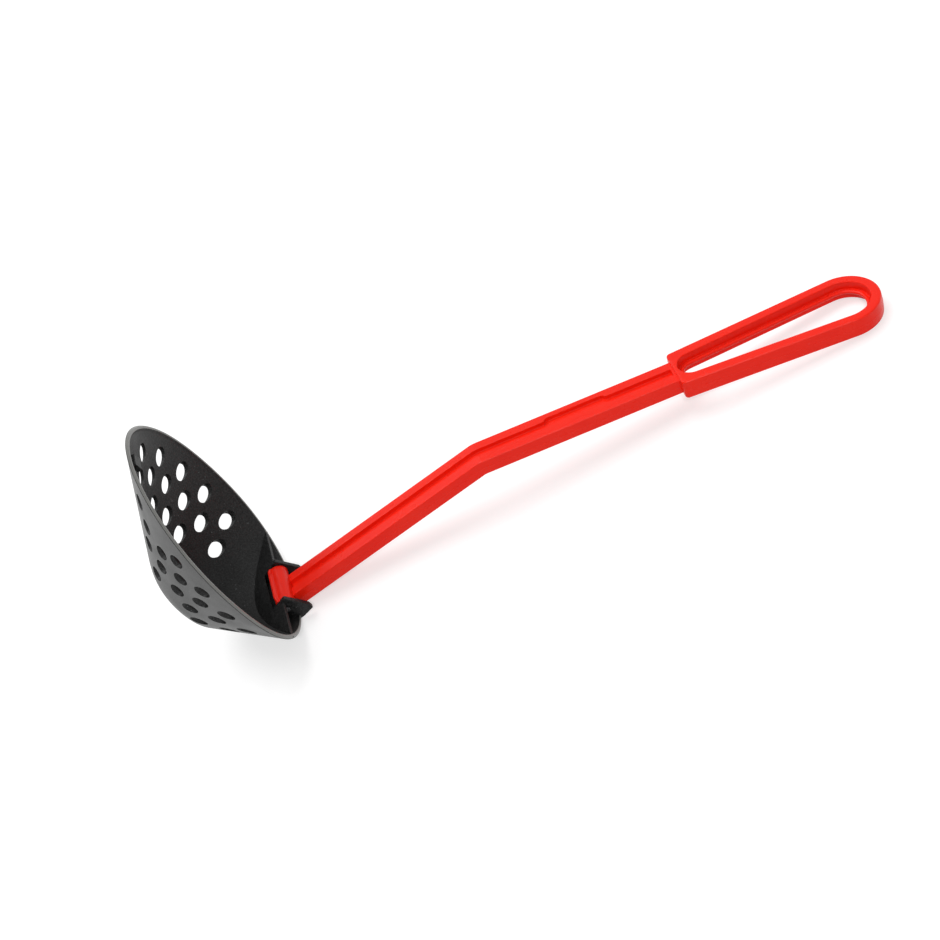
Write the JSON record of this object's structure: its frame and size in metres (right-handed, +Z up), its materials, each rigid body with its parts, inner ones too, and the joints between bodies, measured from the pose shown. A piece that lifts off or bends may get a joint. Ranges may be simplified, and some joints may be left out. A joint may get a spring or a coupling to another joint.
{
  "type": "folding skimmer ladle",
  "caption": "Perforated scoop-shaped skimmer with a folding black bowl on a bent red handle that ends in a teardrop hanging loop.",
  "frame": {"origin": "bottom centre of the whole tool's box as it lies on a table, resting on the bowl's rim and the tip of the loop", "axes": "+X from the bowl to the loop along the handle, +Y along the hinge axis, +Z up"},
  "size_m": [0.3864, 0.1176, 0.1317],
  "materials": {
    "handle_plastic": "gloss",
    "bowl_plastic": "satin",
    "pin_steel": "satin"
  },
  "bodies": {
    "handle": {"handle": "handle_plastic"},
    "bowl": {"bowl": "bowl_plastic", "hinge_pin": "pin_steel"}
  },
  "joints": [
    {"name": "bowl_fold", "type": "hinge", "parent": "handle", "child": "bowl", "pos_m": [-0.14488, 0, 0.0115], "axis": [0, 1, 0], "range_deg": [0, 89]}
  ]
}
